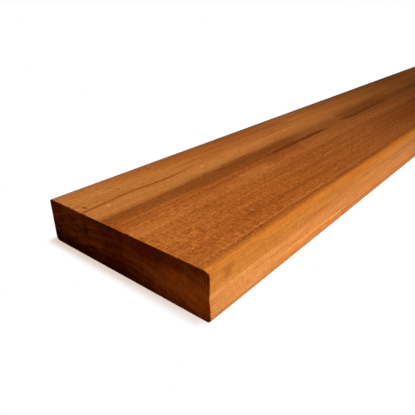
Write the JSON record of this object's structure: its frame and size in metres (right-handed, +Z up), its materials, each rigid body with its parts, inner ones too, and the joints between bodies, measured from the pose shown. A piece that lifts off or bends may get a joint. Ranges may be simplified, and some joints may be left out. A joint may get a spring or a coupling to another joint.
{
  "type": "decking board",
  "caption": "Straight solid hardwood decking board with flat planed faces, long arrises rounded to different radii, and square-cut ends, for laying across joists.",
  "frame": {"origin": "centre of the underside, halfway along the board", "axes": "+X along the grain and the length, away from the end that the picture shows; +Y across the width, from the front edge to the back edge; +Z up through the thickness"},
  "size_m": [1.8, 0.09, 0.02],
  "materials": {
    "hardwood": "planed and oiled"
  },
  "bodies": {
    "root": {"decking_board": "hardwood"}
  },
  "joints": []
}
